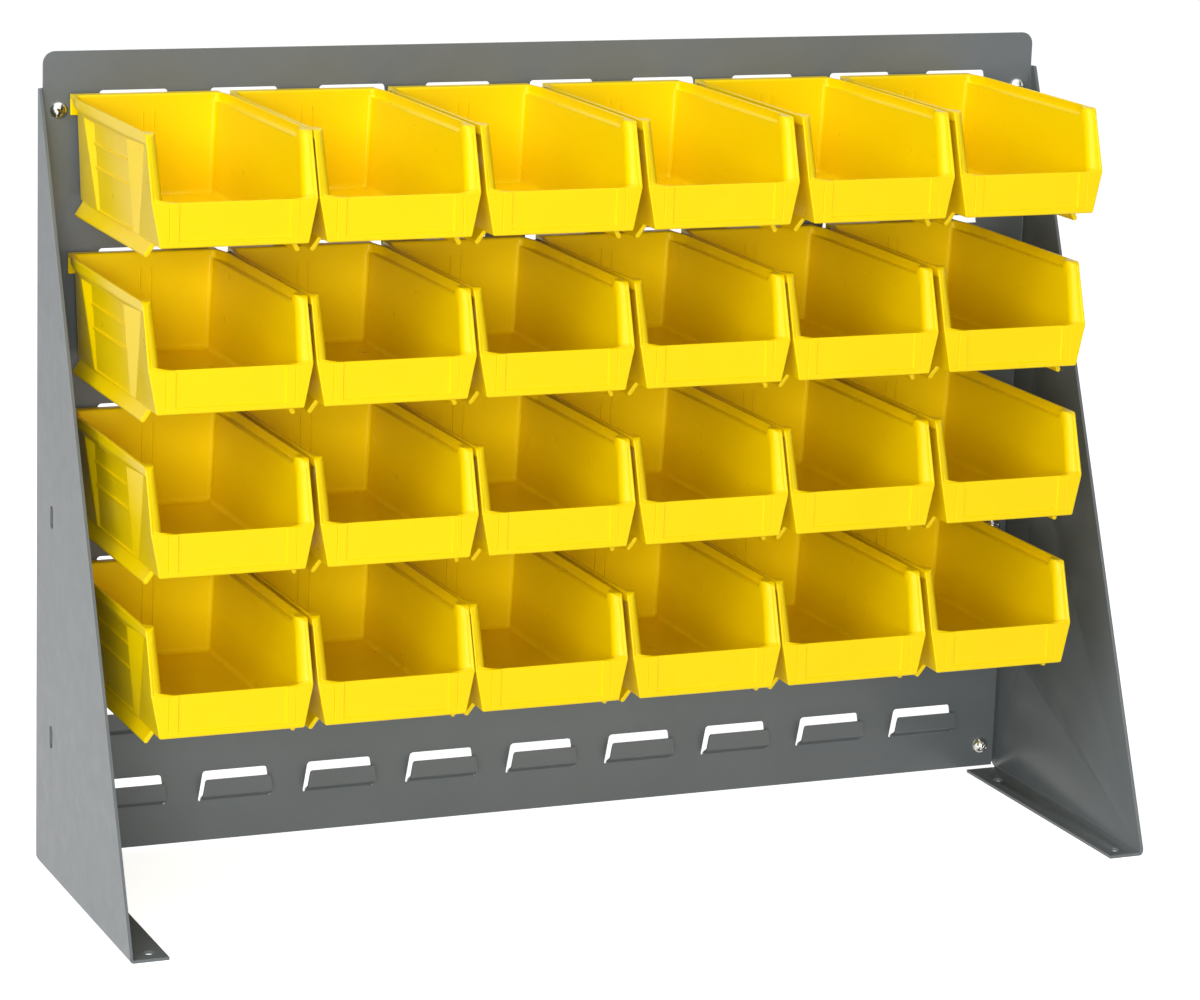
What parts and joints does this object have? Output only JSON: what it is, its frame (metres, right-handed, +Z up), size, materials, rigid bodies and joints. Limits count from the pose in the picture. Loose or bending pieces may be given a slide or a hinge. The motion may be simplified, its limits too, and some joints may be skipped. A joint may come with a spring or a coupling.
{
  "type": "bench rack with hanging bins",
  "caption": "Bench rack: a louvered steel panel between two folded uprights, with rows of hopper-front plastic bins that hang on the louvers and lift off.",
  "frame": {"origin": "on the bench, under the middle of the whole rack's width and depth", "axes": "+X to the right seen from the front, +Y to the back, +Z up; the bins open to -Y"},
  "size_m": [0.714, 0.222, 0.5334],
  "materials": {
    "grey_paint": "semi-gloss",
    "yellow_plastic": "smooth moulded",
    "zinc": "bright zinc plate"
  },
  "bodies": {
    "rack": {"louvered_panel": "grey_paint", "left_upright": "grey_paint", "right_upright": "grey_paint", "panel_screws": "zinc", "panel_nuts": "zinc"},
    "bin_r1_c1": {"bin_r1_c1": "yellow_plastic"},
    "bin_r1_c2": {"bin_r1_c2": "yellow_plastic"},
    "bin_r1_c3": {"bin_r1_c3": "yellow_plastic"},
    "bin_r1_c4": {"bin_r1_c4": "yellow_plastic"},
    "bin_r1_c5": {"bin_r1_c5": "yellow_plastic"},
    "bin_r1_c6": {"bin_r1_c6": "yellow_plastic"},
    "bin_r2_c1": {"bin_r2_c1": "yellow_plastic"},
    "bin_r2_c2": {"bin_r2_c2": "yellow_plastic"},
    "bin_r2_c3": {"bin_r2_c3": "yellow_plastic"},
    "bin_r2_c4": {"bin_r2_c4": "yellow_plastic"},
    "bin_r2_c5": {"bin_r2_c5": "yellow_plastic"},
    "bin_r2_c6": {"bin_r2_c6": "yellow_plastic"},
    "bin_r3_c1": {"bin_r3_c1": "yellow_plastic"},
    "bin_r3_c2": {"bin_r3_c2": "yellow_plastic"},
    "bin_r3_c3": {"bin_r3_c3": "yellow_plastic"},
    "bin_r3_c4": {"bin_r3_c4": "yellow_plastic"},
    "bin_r3_c5": {"bin_r3_c5": "yellow_plastic"},
    "bin_r3_c6": {"bin_r3_c6": "yellow_plastic"},
    "bin_r4_c1": {"bin_r4_c1": "yellow_plastic"},
    "bin_r4_c2": {"bin_r4_c2": "yellow_plastic"},
    "bin_r4_c3": {"bin_r4_c3": "yellow_plastic"},
    "bin_r4_c4": {"bin_r4_c4": "yellow_plastic"},
    "bin_r4_c5": {"bin_r4_c5": "yellow_plastic"},
    "bin_r4_c6": {"bin_r4_c6": "yellow_plastic"}
  },
  "joints": [
    {"name": "bin_r1_c1_lift", "type": "slide", "parent": "rack", "child": "bin_r1_c1", "axis": [0, 0, 1], "range_m": [0, 0.0115]},
    {"name": "bin_r1_c2_lift", "type": "slide", "parent": "rack", "child": "bin_r1_c2", "axis": [0, 0, 1], "range_m": [0, 0.0115]},
    {"name": "bin_r1_c3_lift", "type": "slide", "parent": "rack", "child": "bin_r1_c3", "axis": [0, 0, 1], "range_m": [0, 0.0115]},
    {"name": "bin_r1_c4_lift", "type": "slide", "parent": "rack", "child": "bin_r1_c4", "axis": [0, 0, 1], "range_m": [0, 0.0115]},
    {"name": "bin_r1_c5_lift", "type": "slide", "parent": "rack", "child": "bin_r1_c5", "axis": [0, 0, 1], "range_m": [0, 0.0115]},
    {"name": "bin_r1_c6_lift", "type": "slide", "parent": "rack", "child": "bin_r1_c6", "axis": [0, 0, 1], "range_m": [0, 0.0115]},
    {"name": "bin_r2_c1_lift", "type": "slide", "parent": "rack", "child": "bin_r2_c1", "axis": [0, 0, 1], "range_m": [0, 0.0115]},
    {"name": "bin_r2_c2_lift", "type": "slide", "parent": "rack", "child": "bin_r2_c2", "axis": [0, 0, 1], "range_m": [0, 0.0115]},
    {"name": "bin_r2_c3_lift", "type": "slide", "parent": "rack", "child": "bin_r2_c3", "axis": [0, 0, 1], "range_m": [0, 0.0115]},
    {"name": "bin_r2_c4_lift", "type": "slide", "parent": "rack", "child": "bin_r2_c4", "axis": [0, 0, 1], "range_m": [0, 0.0115]},
    {"name": "bin_r2_c5_lift", "type": "slide", "parent": "rack", "child": "bin_r2_c5", "axis": [0, 0, 1], "range_m": [0, 0.0115]},
    {"name": "bin_r2_c6_lift", "type": "slide", "parent": "rack", "child": "bin_r2_c6", "axis": [0, 0, 1], "range_m": [0, 0.0115]},
    {"name": "bin_r3_c1_lift", "type": "slide", "parent": "rack", "child": "bin_r3_c1", "axis": [0, 0, 1], "range_m": [0, 0.0115]},
    {"name": "bin_r3_c2_lift", "type": "slide", "parent": "rack", "child": "bin_r3_c2", "axis": [0, 0, 1], "range_m": [0, 0.0115]},
    {"name": "bin_r3_c3_lift", "type": "slide", "parent": "rack", "child": "bin_r3_c3", "axis": [0, 0, 1], "range_m": [0, 0.0115]},
    {"name": "bin_r3_c4_lift", "type": "slide", "parent": "rack", "child": "bin_r3_c4", "axis": [0, 0, 1], "range_m": [0, 0.0115]},
    {"name": "bin_r3_c5_lift", "type": "slide", "parent": "rack", "child": "bin_r3_c5", "axis": [0, 0, 1], "range_m": [0, 0.0115]},
    {"name": "bin_r3_c6_lift", "type": "slide", "parent": "rack", "child": "bin_r3_c6", "axis": [0, 0, 1], "range_m": [0, 0.0115]},
    {"name": "bin_r4_c1_lift", "type": "slide", "parent": "rack", "child": "bin_r4_c1", "axis": [0, 0, 1], "range_m": [0, 0.0115]},
    {"name": "bin_r4_c2_lift", "type": "slide", "parent": "rack", "child": "bin_r4_c2", "axis": [0, 0, 1], "range_m": [0, 0.0115]},
    {"name": "bin_r4_c3_lift", "type": "slide", "parent": "rack", "child": "bin_r4_c3", "axis": [0, 0, 1], "range_m": [0, 0.0115]},
    {"name": "bin_r4_c4_lift", "type": "slide", "parent": "rack", "child": "bin_r4_c4", "axis": [0, 0, 1], "range_m": [0, 0.0115]},
    {"name": "bin_r4_c5_lift", "type": "slide", "parent": "rack", "child": "bin_r4_c5", "axis": [0, 0, 1], "range_m": [0, 0.0115]},
    {"name": "bin_r4_c6_lift", "type": "slide", "parent": "rack", "child": "bin_r4_c6", "axis": [0, 0, 1], "range_m": [0, 0.0115]}
  ]
}
